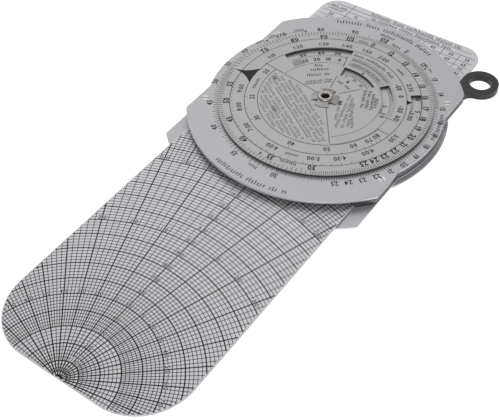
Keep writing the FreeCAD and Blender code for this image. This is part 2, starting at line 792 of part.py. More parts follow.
def azimuth_window():
    """The clear plotting disc; its rim is the bearing in the back plate's window."""
    body = new_body("azimuth_window")
    sketch = new_sketch(body, "window_circles", level="ring_thickness")
    add_circle(sketch, "0", "0", WINDOW_RADIUS)
    add_circle(sketch, "0", "0", total("grommet_radius", "fit_gap"))
    add_pad(body, "window_sheet", sketch, "%s - ring_thickness" % WINDOW_TOP)
    rivet_holes(body, "azimuth_window", "ring_thickness", total("rivet_radius", "fit_gap"))
    return body


def azimuth_retainer():
    body, sheet_pad = flat_ring("azimuth_retainer", RETAINER_RADIUS, RING_BORE,
                                WINDOW_TOP, "retainer_thickness")
    rivet_holes(body, "azimuth_retainer", WINDOW_TOP, total("rivet_radius", "fit_gap"))
    return body


def azimuth_rivets():
    body = new_body("azimuth_rivets")
    sketch = new_sketch(body, "rivet_profile", "XZ_Plane", shift=RIVET_CIRCLE)
    corners = [
        ("0", "0"),
        ("rivet_radius", "0"),
        ("rivet_radius", RETAINER_TOP),
        ("0", RETAINER_TOP),
    ]
    add_outline(sketch, corners)
    rivet = add_revolution(body, "rivet_turned", sketch)
    add_polar(body, "rivet_ring", rivet, "rivet_count")
    return body


def centre_grommet():
    body = new_body("centre_grommet")
    sketch = new_sketch(body, "grommet_profile", "XZ_Plane")
    low = "(ring_thickness - grommet_flange_thickness)"
    high = total(WINDOW_TOP, "grommet_flange_thickness")
    corners = [
        ("grommet_hole_radius", low),
        ("grommet_flange_radius", low),
        ("grommet_flange_radius", "ring_thickness"),
        ("grommet_radius", "ring_thickness"),
        ("grommet_radius", WINDOW_TOP),
        ("grommet_flange_radius", WINDOW_TOP),
        ("grommet_flange_radius", high),
        ("grommet_hole_radius", high),
    ]
    add_outline(sketch, corners)
    add_revolution(body, "grommet_turned", sketch)
    return body


def main():
    nodes = [
        front_plate(),
        back_plate(),
        rail("left_rail", -1, False),
        rail("right_rail", 1, True),
        lanyard_ring(),
        frame_screws(),
        frame_nuts(),
        computer_disc(),
        flat_ring("disc_washer", "disc_washer_radius", total("pivot_radius", "fit_gap"),
                  FRONT_TOP, "disc_washer_thickness")[0],
        spring_washer(),
        pivot_eyelet(),
        flat_ring("eyelet_back_washer", "back_washer_radius", total("pivot_radius", "fit_gap"),
                  "(%s - back_washer_thickness)" % FRONT_LOW, "back_washer_thickness")[0],
        wind_card(),
        card_spring_right(),
        azimuth_ring(),
        azimuth_window(),
        azimuth_retainer(),
        azimuth_rivets(),
        centre_grommet(),
    ]
    spring = [node for node in nodes if node.Label == "card_spring_right"][0]
    left_spring = mirror_of("card_spring_left", spring, "X")
    left_spring.Label = "card_spring_left"
    nodes.append(left_spring)
    doc.recompute()
    for item in doc.Objects:
        if "Invalid" in item.State or "Error" in item.State:
            raise RuntimeError("%s failed to build" % item.Label)
    os.makedirs("parts", exist_ok=True)
    for node in nodes:
        if node.Shape.isNull() or not node.Shape.isValid():
            raise RuntimeError("%s has no sound shape" % node.Label)
        print("%-20s solids %d volume %.1f" % (node.Label, len(node.Shape.Solids), node.Shape.Volume))
    for node in nodes:
        node.Shape.exportStep("parts/%s.step" % node.Label)


main()
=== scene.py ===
import json
import math

import bmesh
import bpy
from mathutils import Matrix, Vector


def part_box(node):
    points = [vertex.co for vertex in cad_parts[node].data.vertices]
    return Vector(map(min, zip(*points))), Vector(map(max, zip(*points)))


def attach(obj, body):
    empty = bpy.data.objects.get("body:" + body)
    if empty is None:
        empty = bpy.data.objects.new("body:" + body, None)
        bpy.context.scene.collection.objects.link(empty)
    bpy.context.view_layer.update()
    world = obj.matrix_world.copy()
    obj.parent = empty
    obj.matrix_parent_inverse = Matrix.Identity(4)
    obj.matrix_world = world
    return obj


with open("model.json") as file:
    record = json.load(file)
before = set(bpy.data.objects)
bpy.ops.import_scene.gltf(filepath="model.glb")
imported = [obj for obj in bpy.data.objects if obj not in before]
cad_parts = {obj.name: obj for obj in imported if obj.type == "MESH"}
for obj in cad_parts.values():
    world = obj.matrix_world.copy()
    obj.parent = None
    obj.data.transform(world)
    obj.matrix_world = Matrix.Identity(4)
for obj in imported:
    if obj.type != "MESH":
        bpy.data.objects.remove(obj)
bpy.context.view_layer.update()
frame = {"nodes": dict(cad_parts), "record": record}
NODES = frame["nodes"]

# Drawn places and widths are in millimetres. Angles are degrees clockwise from +Y, as a dial is read.
MM = 0.001

# The camera, fitted to the photograph's 500 by 420 pixels: place in metres, turn in degrees.
CAMERA_PLACE = (0.177517, -0.286746, 0.300928)
CAMERA_TURN = (42.417, 2.021, 35.93)
CAMERA_LENS = 68.82

# The ink lies a hair proud of the metal and reaches a hair into it.
INK_PROUD = 0.025
INK_SUNK = 0.02

# How much prouder a second and a third layer of ink lie than the first.
SECOND_LAYER = 0.01
THIRD_LAYER = 0.02

# Widths of the printed lines.
HAIR = 0.17
TICK = 0.23
FINE = 0.28

# The figures of the dials: the thickening of a plain and a heavy stroke, the narrowing of the
# figures and the space between them.
PLAIN_STROKE = 0.022
HEAVY_STROKE = 0.034
FIGURE_NARROWING = 0.9
FIGURE_SPACE = 0.15

# Small print is stood for by bare upright strokes: how many one word after another has and the gap
# after a word, in strokes.
WORD_LENGTHS = (9, 5, 12, 7, 3, 11, 8, 14, 5, 8)
WORD_GAP = 1.2

# As shares of the row's height: from stroke to stroke, a plain stroke's weight and those of titles,
# notes and short bold words, a short stroke, and the height of a cross bar.
STROKE_PITCH = 0.55
PLAIN_WEIGHT = 0.22
TITLE_WEIGHT = 0.17
NOTE_WEIGHT = 0.13
SIDE_NOTE_WEIGHT = 0.15
BOLD_WEIGHT = 0.27
SHORT_STROKE = 0.74
LOW_BAR = 0.12
HIGH_BAR = 0.62

# A cross bar's length as a share of the pitch, and its weight as a share of the stroke's.
BAR_LENGTH = 0.6
BAR_WEIGHT = 0.7

# The log scales: from, to and step of each stretch, and the steps that get a longer mark.
SCALE_STRETCHES = ((10, 15, 0.1, 5), (15, 30, 0.2, 5), (30, 60, 0.5, 2), (60, 100, 1.0, 5))
SCALE_FIGURES = (11, 12, 13, 14, 15, 16, 17, 18, 19, 20, 21, 22, 23, 24, 25, 30, 35, 40, 45, 50, 55)
HOUR_FIGURES = ("1:10", "1:20", "1:30", "1:40", "1:50", "2:00", "2:30", "3:00", "3:30", "4:00",
                "4:30", "5:00", "6:00", "7:00", "8:00", "9:00")

# How far the disc is turned against the fixed scale.
DISC_TURN = -17.3


def level_of(node, top=True):
    """The height in millimetres of a CAD node's top or underside."""
    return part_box(node)[1 if top else 0].z / MM


def reach_of(node):
    """The radius in millimetres of a round CAD node about the pivot."""
    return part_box(node)[1].x / MM


def polar(radius, angle):
    turn = math.radians(angle)
    return (radius * math.sin(turn), radius * math.cos(turn))


def log_angle(number):
    """Where a number stands on a log scale of one turn from 10 to 100."""
    return 360 * math.log10(number / 10)


FIGURES = {}


def figure(letter, stroke):
    """A figure as a closed mesh, 1 high where it is as high as an 8: points whose third number is
    0 for the underside or 1 for the top, faces, its width, and the height of the font's 8."""
    if (letter, stroke) in FIGURES:
        return FIGURES[letter, stroke]
    curve = bpy.data.curves.new("figure", "FONT")
    curve.body = letter
    curve.resolution_u = 3
    curve.offset = stroke
    curve.extrude = 0.5
    holder = bpy.data.objects.new("figure", curve)
    bpy.context.scene.collection.objects.link(holder)
    mesh = bpy.data.meshes.new_from_object(holder)
    work = bmesh.new()
    work.from_mesh(mesh)
    bmesh.ops.remove_doubles(work, verts=work.verts, dist=1e-4)
    bmesh.ops.recalc_face_normals(work, faces=work.faces)
    work.verts.index_update()
    left = min(vertex.co.x for vertex in work.verts)
    right = max(vertex.co.x for vertex in work.verts)
    if letter == "8":
        height = max(vertex.co.y for vertex in work.verts)
    else:
        height = figure("8", stroke)[3]
    narrow = FIGURE_NARROWING / height
    points = [((vertex.co.x - left) * narrow, vertex.co.y / height, 1 if vertex.co.z > 0 else 0)
              for vertex in work.verts]
    faces = [[vertex.index for vertex in face.verts] for face in work.faces]
    work.free()
    bpy.data.objects.remove(holder)
    bpy.data.curves.remove(curve)
    bpy.data.meshes.remove(mesh)
    FIGURES[letter, stroke] = (points, faces, (right - left) * narrow, height)
    return FIGURES[letter, stroke]


class Ink:
    """Flat closed marks on one surface, gathered into one piece. A surface that faces down is
    drawn as it is seen from below, with +Y up the page."""

    def __init__(self, level, below=False, lift=0.0):
        self.low = level - (INK_PROUD + lift if below else INK_SUNK)
        self.high = level + (INK_SUNK if below else INK_PROUD + lift)
        self.side = -1 if below else 1
        self.points = []
        self.faces = []

    def add(self, flat, faces):
        """A closed mark from points (across, along, 0 for its underside or 1 for its top)."""
        first = len(self.points)
        span = self.high - self.low
        for across, along, rise in flat:
            self.points.append((across * self.side * MM, along * MM, (self.low + rise * span) * MM))
        for face in faces:
            turned = face if self.side > 0 else face[::-1]
            self.faces.append([first + corner for corner in turned])

    def strip(self, left, right, closed=False):
        """A band between two rows of points, left and right of the way along it."""
        count = len(left)
        flat = []
        for one, other in zip(left, right):
            flat += [(*one, 0), (*other, 0), (*other, 1), (*one, 1)]
        faces = []
        for step in range(count if closed else count - 1):
            here = 4 * step
            after = 4 * ((step + 1) % count)
            for corner in range(4):
                follow = (corner + 1) % 4
                faces.append([here + follow, here + corner, after + corner, after + follow])
        if not closed:
            last = 4 * (count - 1)
            faces += [[0, 1, 2, 3], [last + 3, last + 2, last + 1, last]]
        self.add(flat, faces)

    def line(self, start, end, width):
        start, end = Vector(start), Vector(end)
        way = (end - start).normalized() * width / 2
        side = Vector((-way.y, way.x))
        self.strip([start + side, end + side], [start - side, end - side])

    def tick(self, angle, inner, outer, width):
        self.line(polar(inner, angle), polar(outer, angle), width)

    def tick_row(self, count, start, pitch, reach, width, long_every=1):
        """Even marks from an angle on. reach is the inner and outer radius and, where some marks
        are longer, their outer radius."""
        for step in range(count):
            outer = reach[1] if step % long_every else reach[-1]
            self.tick(start + pitch * step, reach[0], outer, width)

    def arc(self, radius, width, start=0.0, finish=360.0, centre=(0.0, 0.0), step=2.0):
        whole = finish - start >= 360
        count = max(1, math.ceil((finish - start) / step))
        turns = [start + (finish - start) * n / count for n in range(count if whole else count + 1)]
        rows = []
        for reach in (radius + width / 2, radius - width / 2):
            spots = [polar(reach, turn) for turn in turns]
            rows.append([(x + centre[0], y + centre[1]) for x, y in spots])
        self.strip(rows[0], rows[1], closed=whole)

    def plate(self, outline):
        """A filled outline, given counterclockwise."""
        count = len(outline)
        flat = [(*spot, 0) for spot in outline] + [(*spot, 1) for spot in outline]
        faces = [list(range(count))[::-1], list(range(count, 2 * count))]
        for corner in range(count):
            follow = (corner + 1) % count
            faces.append([corner, follow, count + follow, count + corner])
        self.add(flat, faces)

    def pointer(self, radius, angle, length, width):
        """A small filled triangle with its tip at a radius, pointing out, or in if length < 0."""
        tip = Vector(polar(radius, angle))
        foot = Vector(polar(radius - length, angle))
        side = Vector((-math.cos(math.radians(angle)), math.sin(math.radians(angle)))) * width / 2
        corners = [tip, foot + side, foot - side]
        self.plate(corners if length > 0 else corners[::-1])

    def write(self, text, place, turn, height, stroke=PLAIN_STROKE):
        """Figures centred on a place, their feet turned clockwise by an angle."""
        glyphs = [figure(letter, stroke) for letter in text]
        width = sum(glyph_width for _, _, glyph_width, _ in glyphs) + FIGURE_SPACE * (len(glyphs) - 1)
        cosine = math.cos(math.radians(turn)) * height
        sine = math.sin(math.radians(turn)) * height
        start = -width / 2
        for points, faces, glyph_width, _ in glyphs:
            flat = []
            for x, y, rise in points:
                across = x + start
                along = y - 0.5
                flat.append((place[0] + across * cosine + along * sine,
                             place[1] - across * sine + along * cosine, rise))
            self.add(flat, faces)
            start += glyph_width + FIGURE_SPACE

    def dial_row(self, radius, height, figures, stroke=PLAIN_STROKE):
        """Figures round a dial, their feet towards the pivot: pairs of text and angle."""
        for text, angle in figures:
            self.write(text, polar(radius, angle), angle, height, stroke)

    def strokes(self, spot_at, length, height, first_word, weight):
        """Bare upright strokes in the rhythm of words, some with a cross bar. spot_at gives the
        place and the turn at a distance along the row."""
        pitch = STROKE_PITCH * height
        word = first_word
        reach = 0.0
        while length - reach > 2 * pitch:
            letters = min(WORD_LENGTHS[word % len(WORD_LENGTHS)], int((length - reach) / pitch))
            for letter in range(letters):
                place, turn = spot_at(reach + (letter + 0.5) * pitch)
                tall = (word * 3 + letter * 5) % 7 in (0, 3)
                up = Vector((math.sin(math.radians(turn)), math.cos(math.radians(turn))))
                over = Vector((up.y, -up.x))
                foot = Vector(place) - up * height / 2
                head = foot + up * height * (1.0 if tall else SHORT_STROKE)
                self.line(foot, head, weight * height)
                if (word + letter) % 2:
                    middle = foot + up * height * (LOW_BAR if letter % 3 else HIGH_BAR)
                    self.line(middle, middle + over * pitch * BAR_LENGTH, weight * height * BAR_WEIGHT)
            reach += (letters + WORD_GAP) * pitch
            word += 1

    def row(self, start, end, height, first_word, weight):
        """A straight row from one place to another."""
        start, end = Vector(start), Vector(end)
        way = (end - start).normalized()
        turn = -math.degrees(math.atan2(way.y, way.x))
        self.strokes(lambda reach: (start + way * reach, turn), (end - start).length, height,
                     first_word, weight)

    def round_row(self, radius, start, finish, height, first_word, weight=PLAIN_WEIGHT):
        """A row along an arc, its letters' feet towards the pivot."""
        def spot_at(reach):
            angle = start + math.degrees(reach / radius)
            return polar(radius, angle), angle
        self.strokes(spot_at, radius * math.radians(finish - start), height, first_word, weight)

    def under_row(self, radius, start, finish, height, first_word, weight):
        """A row along an arc that is read from below, its letters' feet away from the pivot."""
        def spot_at(reach):
            angle = finish - math.degrees(reach / radius)
            return polar(radius, angle), angle + 180
        self.strokes(spot_at, radius * math.radians(finish - start), height, first_word, weight)

    def block(self, inside, way, pitch, height, anchor, rows, weight):
        """Rows of strokes, side by side, each as long as it stays inside a region. A very short row
        is left out, and so is one that the region breaks in two."""
        down = Vector((way.y, -way.x))
        stride = 0.5
        half_count = 130
        too_few = 6
        for number in rows:
            middle = anchor + down * pitch * number
            spots = [middle + way * (stride * step) for step in range(-half_count, half_count + 1)]
            kept = [spot for spot in spots if inside(spot)]
            if len(kept) > too_few and (kept[-1] - kept[0]).length < stride * len(kept):
                self.row(kept[0], kept[-1], height, number % len(WORD_LENGTHS), weight)

    def make(self, name, body, material):
        """The gathered marks as one piece that rides on a body."""
        mesh = bpy.data.meshes.new(name)
        mesh.from_pydata(self.points, [], self.faces)
        mesh.update()
        mesh.materials.append(material)
        piece = bpy.data.objects.new(name, mesh)
        bpy.context.scene.collection.objects.link(piece)
        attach(piece, body)


def scale_ticks(ink, base, lengths, turn):
    """The marks of a log scale. lengths are the plain, middle and long marks, out from base."""
    for first, last, step, middle in SCALE_STRETCHES:
        for number in range(round((last - first) / step)):
            value = first + number * step
            whole = abs(value - round(value)) < 1e-6
            long_mark = whole and (value < 25 or round(value) % 5 == 0)
            kind = 2 if long_mark else (1 if number % middle == 0 else 0)
            ink.tick(turn + log_angle(value), base, base + lengths[kind], TICK)


def scale_figures(numbers, turn):
    """Pairs of text and angle for numbers on a log scale."""
    return [(str(number), log_angle(number) + turn) for number in numbers]


# The fixed scale, printed on the front plate round the disc.
FIXED_BASE = 50.3
FIXED_MARKS = (1.6, 2.2, 2.7)
FIXED_FIGURES_AT = 53.8
FIXED_TURN = -0.4
FIGURE_HEIGHT = 2.5

# The filled box behind the plate's knocked-out 10: half its width, its foot and its top.
TEN_BOX = (1.9, 51.9, 55.1)

# Small print on the plate: radius, first and last angle, height, first word, weight.
PLATE_ROWS = (
    (60.9, -27.6, 26.8, 2.7, 0, TITLE_WEIGHT),
    (57.1, -4.3, 4.6, 2.1, 3, PLAIN_WEIGHT),
    (53.3, 5.0, 12.4, 1.9, 1, PLAIN_WEIGHT),
    (53.9, 67.0, 87.0, 1.9, 2, PLAIN_WEIGHT),
    (53.9, 180.5, 188.0, 1.7, 1, PLAIN_WEIGHT),
    (54.6, 28.0, 35.0, 1.6, 4, PLAIN_WEIGHT),
    (54.9, -64.0, -58.0, 1.6, 6, PLAIN_WEIGHT),
    (54.2, -72.0, -66.5, 1.6, 3, PLAIN_WEIGHT),
    (54.9, -49.5, -43.5, 1.6, 3, PLAIN_WEIGHT),
)
LOWER_TITLE = (61.2, 162.2, 197.8, 2.5, 2, TITLE_WEIGHT)
UNIT_POINTERS = (31.0, -43.5, -59.3, -65.9)


def print_front(black, white):
    ink = Ink(level_of("front_plate"))
    knocked_out = Ink(level_of("front_plate"), lift=SECOND_LAYER)
    scale_ticks(ink, FIXED_BASE, FIXED_MARKS, FIXED_TURN)
    numbers = SCALE_FIGURES + (60, 70, 80, 90)
    ink.dial_row(FIXED_FIGURES_AT, FIGURE_HEIGHT, scale_figures(numbers, FIXED_TURN))
    half, foot, top = TEN_BOX
    ink.plate([(-half, foot), (half, foot), (half, top), (-half, top)])
    knocked_out.dial_row((foot + top) / 2, FIGURE_HEIGHT, [("10", 0)])
    for small_print in PLATE_ROWS:
        ink.round_row(*small_print)
    ink.under_row(*LOWER_TITLE)
    for angle in UNIT_POINTERS:
        ink.pointer(51.7, angle, -1.7, 1.2)
    ink.arc(53.5, HAIR, -65.3, -42.9)
    marks_under_windows(ink)
    ink.make("print_front", "frame", black)
    knocked_out.make("print_front_white", "frame", white)


def marks_under_windows(ink):
    """Marks on the front plate that the disc's windows uncover."""
    # The height window.
    ink.dial_row(34.9, 2.3, (("60", -50.8), ("40", -36.2), ("20", -22.9)), HEAVY_STROKE)
    ink.tick_row(36, -63, 1.45, (32.2, 33.4, 34.0), TICK, long_every=5)
    # The ratio window.
    ink.tick_row(24, -9, 2.0, (21.2, 22.2, 22.8), HAIR, long_every=2)
    ink.tick_row(24, -9, 2.0, (18.0, 18.9), HAIR)
    ink.arc(21.2, HAIR, -10, 38)
    ink.dial_row(19.9, 1.5, (("0", -3), ("30", 11), ("60", 25)))
    # The small window at the outer circle.
    ink.dial_row(42.7, 2.2, (("10", 55.6), ("5", 67.2)), HEAVY_STROKE)
    ink.tick_row(12, 54, 1.5, (39.4, 40.8), HAIR)
    # The window on the right.
    ink.tick_row(28, 40, 1.45, (29.4, 30.4, 30.7), HAIR, long_every=5)
    ink.dial_row(27.6, 2.0, [("0", 65.2)])
    ink.dial_row(28.0, 1.9, [("10", 77.0)])


# The rotating disc's circles and rows of figures.
OUTER_CIRCLE = 44.3
MIDDLE_CIRCLE = 37.5
INNER_CIRCLE = 31.4
NOTE_CIRCLE = 26.0
DISC_MARKS = (-2.0, -2.4, -2.8)
DISC_EDGE = 0.25
DISC_FIGURES_AT = 46.0
DISC_FIGURE_HEIGHT = 2.7
HOURS_AT = 40.2
HOUR_HEIGHT = 2.3
SPEEDS_AT = 34.0
SPEED_HEIGHT = 2.35
SPEED_MARKS = (("20", 271.0), ("25", 238.0), ("30", 213.0), ("40", 173.4), ("50", 146.0),
               ("60", 125.8), ("70", 113.0), ("80", 105.7))

# Small print on the disc: radius, first and last angle, height, first word.
DISC_ROWS = (
    (40.5, 25.0, 33.0, 1.6, 2),
    (40.4, 164.0, 173.5, 1.6, 5),
    (45.9, -12.0, -4.5, 1.6, 3),
    (45.6, 163.0, 173.5, 1.6, 7),
    (34.3, 248.0, 262.0, 1.6, 7),
    (34.9, -9.4, 33.6, 1.9, 1),
    (28.2, -5.0, 32.0, 1.0, 2),
)


def print_disc(black, white):
    ink = Ink(level_of("computer_disc"))
    knocked_out = Ink(level_of("computer_disc"), lift=SECOND_LAYER)
    scale_ticks(ink, reach_of("computer_disc") - DISC_EDGE, DISC_MARKS, DISC_TURN)
    numbers = SCALE_FIGURES + (70, 80, 90)
    ink.dial_row(DISC_FIGURES_AT, DISC_FIGURE_HEIGHT, scale_figures(numbers, DISC_TURN),
                 HEAVY_STROKE)
    ink.plate([Vector(polar(reach, DISC_TURN + turn))
               for reach, turn in ((44.6, 2.2), (47.5, 2.1), (47.5, -2.1), (44.6, -2.2))])
    knocked_out.dial_row(46.05, 2.3, [("10", DISC_TURN)])
    ink.arc(OUTER_CIRCLE, FINE)
    ink.arc(MIDDLE_CIRCLE, FINE)
    ink.arc(INNER_CIRCLE, FINE, 98, 279)
    for small_print in DISC_ROWS:
        ink.round_row(*small_print)
    hour_scale(ink)
    speed_scale(ink)
    large_pointer(ink)
    height_scale(ink)
    temperature_bands(ink)
    notes(ink)
    ink.make("print_disc", "calculator", black)
    knocked_out.make("print_disc_white", "calculator", white)


def hour_scale(ink):
    """Hours and minutes inside the outer circle, on the same log scale as the minutes."""
    for text in HOUR_FIGURES:
        hours, minutes = text.split(":")
        angle = DISC_TURN + log_angle(6 * int(hours) + int(minutes) / 10)
        ink.dial_row(HOURS_AT, HOUR_HEIGHT, [(text, angle)])
    for minutes in range(60, 600, 10):
        ink.tick(DISC_TURN + log_angle(minutes / 10), OUTER_CIRCLE - 1.3, OUTER_CIRCLE, HAIR)
    ink.pointer(47.9, 184.8, 2.0, 1.2)


def speed_scale(ink):
    """The uneven scale inside the middle circle, with a short mark between each two long ones."""
    ink.dial_row(SPEEDS_AT, SPEED_HEIGHT, SPEED_MARKS)
    angles = [angle for _, angle in SPEED_MARKS]
    for angle in angles:
        ink.tick(angle, MIDDLE_CIRCLE - 1.6, MIDDLE_CIRCLE, HAIR)
    for angle, after in zip(angles, angles[1:]):
        ink.tick((angle + after) / 2, MIDDLE_CIRCLE - 1.1, MIDDLE_CIRCLE, HAIR)


# The big pointer: its tip's radius, how far its foot and its waist lie beyond the middle circle, and
# the angle from its middle to either corner of its foot.
POINTER_TIP = 49.4
POINTER_FOOT = 0.2
POINTER_WAIST = 4.6
POINTER_SPREAD = 8.3


def large_pointer(ink):
    """The big black pointer at sixty, with hollow sides."""
    angle = DISC_TURN + log_angle(60)
    tip = Vector(polar(POINTER_TIP, angle))
    left, right = (Vector(polar(MIDDLE_CIRCLE + POINTER_FOOT, angle + spread))
                   for spread in (-POINTER_SPREAD, POINTER_SPREAD))
    middle = Vector(polar(MIDDLE_CIRCLE + POINTER_WAIST, angle))
    count = 6

    def bowed(start, end):
        """Points of one hollow side, drawn in towards the middle."""
        spots = []
        for step in range(count):
            part = step / count
            pull = middle * 2 * part * (1 - part)
            spots.append(start * (1 - part) ** 2 + pull + end * part ** 2)
        return spots

    ink.plate(bowed(left, tip) + bowed(tip, right) + [right])


def height_scale(ink):
    """Figures and marks on the disc along the inner edge of the height window."""
    figures = (("30", -52.7), ("20", -41.2), ("10", -29.7), ("0", -19.0))
    ink.dial_row(28.7, 2.3, figures, HEAVY_STROKE)
    ink.tick_row(30, -62, 1.65, (30.8, 31.9, 32.1), TICK, long_every=3)
    ink.tick_row(5, -64.2, 1.9, (27.0, 30.6), 0.36)
    ink.arc(NOTE_CIRCLE, HAIR, -80, -11)


def temperature_bands(ink):
    """The banded arcs above the ratio window and the scales on to the right."""
    for radius in (26.4, 27.6, 28.9, 30.4, 31.5, 32.4):
        ink.arc(radius, HAIR, -9, 38)
    ink.tick_row(44, -8, 1.0, (30.5, 31.4), HAIR)
    ink.tick_row(22, -7, 2.0, (26.5, 27.5), HAIR)
    figures = (("-50", 43.8), ("0", 54.7), ("-50", 69.3), ("60", 79.6))
    ink.dial_row(35.0, 2.4, figures, HEAVY_STROKE)
    ink.dial_row(28.2, 2.0, [("0", 83.3)])
    ink.pointer(26.1, 12.1, 1.5, 1.3)
    ink.tick_row(20, 40, 2.1, (31.2, 32.2), HAIR)
    ink.arc(NOTE_CIRCLE, HAIR, 40, 142)
    ink.arc(30.9, HAIR, 82, 143)


# The lines that part the disc's notes, and the printed line through the lower left note.
DIVIDERS = (
    ((-7.5, 31.5), (-5.2, 23.5)),
    ((-4, 16.5), (-2, 7.5)),
    ((-38, 5.8), (-7, 1.5)),
    ((4, -5.5), (18, -24.5)),
    ((3.5, 6), (10, 14)),
    ((28.5, 4), (36, 4)),
    ((31, -4.8), (36.8, -5.3)),
)
NOTE_LINE = (Vector((-23.5, -6.5)), Vector((8.2, -26.7)))

# Rows of small print: start, end, height, first word, weight.
NOTE_ROWS = (
    ((-17.3, 17.2), (-13.9, 19.6), 1.8, 1, PLAIN_WEIGHT),
    ((-17.2, 13.4), (-9.6, 19.2), 1.8, 2, PLAIN_WEIGHT),
    ((-16.4, 9.0), (-5.3, 17.9), 1.8, 3, PLAIN_WEIGHT),
    ((-14.3, 4.6), (-4.6, 13.3), 1.3, 2, PLAIN_WEIGHT),
    ((-13.6, 3.2), (-3.6, 12.2), 1.3, 5, PLAIN_WEIGHT),
    ((-1.8, 13.6), (1.6, 13.0), 1.5, 3, PLAIN_WEIGHT),
    ((2.8, 12.8), (6.6, 11.2), 1.5, 3, PLAIN_WEIGHT),
    ((12.6, 15.4), (17.6, 3.2), 1.75, 0, PLAIN_WEIGHT),
    ((14.9, 15.9), (19.9, 3.2), 1.75, 1, PLAIN_WEIGHT),
    ((17.3, 15.2), (22.1, 3.8), 1.75, 2, PLAIN_WEIGHT),
    ((19.9, 13.0), (23.8, 4.4), 1.75, 3, PLAIN_WEIGHT),
    ((6.9, 2.6), (12.8, -11.8), 1.6, 0, SIDE_NOTE_WEIGHT),
    ((8.6, 8.2), (14.9, -14.6), 1.6, 1, SIDE_NOTE_WEIGHT),
    ((10.6, 7.4), (17.4, -13.6), 1.6, 2, SIDE_NOTE_WEIGHT),
    ((12.9, 4.2), (19.3, -11.6), 1.6, 3, SIDE_NOTE_WEIGHT),
    ((15.0, -0.6), (21.3, -10.8), 1.6, 4, SIDE_NOTE_WEIGHT),
    ((-29.0, -0.2), (-26.4, -1.6), 1.7, 0, BOLD_WEIGHT),
    ((-17.2, -18.0), (-13.6, -20.3), 1.7, 0, BOLD_WEIGHT),
    ((7.0, 2.4), (8.2, -0.6), 1.7, 0, BOLD_WEIGHT),
)


def notes(ink):
    """Dividing lines, small pointers and the blocks of small print."""
    for start, end in DIVIDERS + (NOTE_LINE,):
        ink.line(start, end, FINE)
    ink.pointer(MIDDLE_CIRCLE + 2.4, 61.2, 2.7, 3.3)
    ink.pointer(17.3, 9.5, 2.4, 1.5)
    for small_print in NOTE_ROWS:
        ink.row(*small_print)
    start, end = NOTE_LINE
    way = (end - start).normalized()

    def in_lower_left_note(spot):
        """Between the pivot and the inner circle, clear of two dividers and the printed line."""
        under_divider = spot.y < 5.4 - 0.139 * (spot.x + 38) - 1.6
        beside_divider = (spot.y + 5.5) < -1.357 * (spot.x - 4) - 2.6 or spot.x < 2
        off_note_line = abs(way.cross(spot - start)) > 1.5 or way.dot(spot - start) < -2.5
        return 8 < spot.length < 30.2 and under_divider and beside_divider and off_note_line

    ink.block(in_lower_left_note, way, 2.05, 1.6, Vector((-7.0, -15.0)), range(-9, 8), NOTE_WEIGHT)


# The card: a polar grid about its lower end and a table at its upper end. The grid's unit and its
# upper end, the widths of its light and heavy lines, the height of its figures, the card's bare
# margin, the rounding of its lower corners and how far a figure stands above its arc.
GRID_UNIT = 0.783
GRID_TOP = 36.0
GRID_LIGHT = 0.26
GRID_HEAVY = 0.5
GRID_FIGURES = 1.9
CARD_MARGIN = 0.4
CARD_ROUND = 25.0
LABEL_RISE = 1.4
CARD_LOW, CARD_HIGH = (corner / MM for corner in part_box("wind_card"))

# The grid's rays: between two distances, the angles between light rays and between heavy ones.
RAY_STRETCHES = ((1, 4, 20, 20), (4, 10, 10, 10), (10, 30, 5, 10), (30, 150, 2, 10), (150, 400, 1, 5))

# A label's two parts, one on each side of a ray: the way from the ray to a part's middle, the half
# width of the bare patch under it, both as a share for the part and one for each of its figures,
# and how far the patch reaches above and below the figures.
PART_ASIDE = (0.4, 0.75)
PATCH_HALF = (0.1, 0.58)
PATCH_SPARE = 0.15

# The rings with angles written along them, and those angles.
RING_LABELS = ((50, range(10, 80, 10)), (100, (10, 20, 30)), (150, (10, 15, 20)), (200, (5, 10)))


def inside_card(x, y):
    """Whether a place is on the printed part of the card's face."""
    half = CARD_HIGH.x - CARD_MARGIN
    foot = CARD_LOW.y + CARD_MARGIN
    corner = CARD_ROUND - CARD_MARGIN
    if abs(x) > half or y < foot or y > GRID_TOP:
        return False
    beyond_x = abs(x) - (half - corner)
    beyond_y = (foot + corner) - y
    return beyond_x < 0 or beyond_y < 0 or math.hypot(beyond_x, beyond_y) < corner


